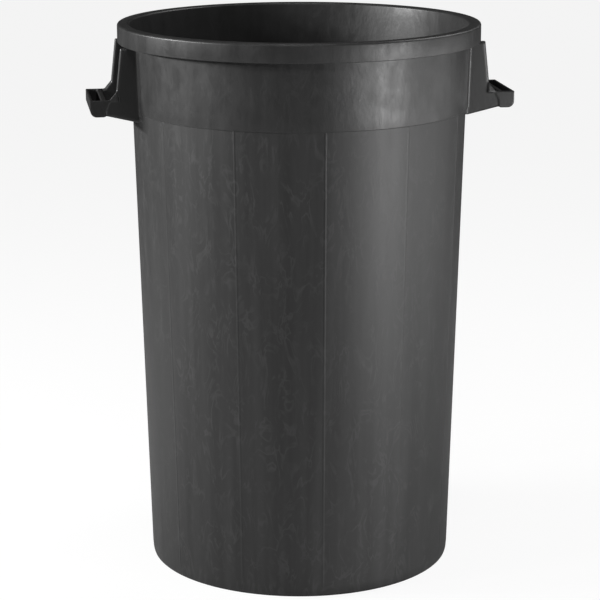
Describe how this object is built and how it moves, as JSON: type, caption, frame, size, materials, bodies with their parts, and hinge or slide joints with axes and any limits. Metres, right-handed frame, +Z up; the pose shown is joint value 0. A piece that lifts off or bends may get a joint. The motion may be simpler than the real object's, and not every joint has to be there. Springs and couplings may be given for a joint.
{
  "type": "open top plastic drum",
  "caption": "Round, slightly tapered open-top plastic drum with a deep overhanging rim, a collar band, upright ribs and rigid moulded loop handles on opposite sides.",
  "frame": {"origin": "centre of the underside, on the surface that the drum stands on", "axes": "+Z up along the drum's axis, handles along +X and -X, front along -Y"},
  "size_m": [0.5726, 0.49, 0.745],
  "materials": {
    "drum_plastic": "dark grey moulded plastic with a soft sheen and faint upright flow marks",
    "rim_plastic": "dark grey moulded plastic, a little smoother than the wall",
    "handle_plastic": "dark grey moulded plastic, smooth with fine handling scuffs"
  },
  "bodies": {
    "root": {"foot_ring": "drum_plastic", "floor_panel": "drum_plastic", "barrel_wall": "drum_plastic", "collar_band": "rim_plastic", "rim_ring": "rim_plastic", "right_front_cheek": "handle_plastic", "right_rear_cheek": "handle_plastic", "right_grip_rail": "handle_plastic", "right_front_gusset": "handle_plastic", "right_rear_gusset": "handle_plastic", "left_front_cheek": "handle_plastic", "left_rear_cheek": "handle_plastic", "left_grip_rail": "handle_plastic", "left_front_gusset": "handle_plastic", "left_rear_gusset": "handle_plastic"}
  },
  "joints": []
}
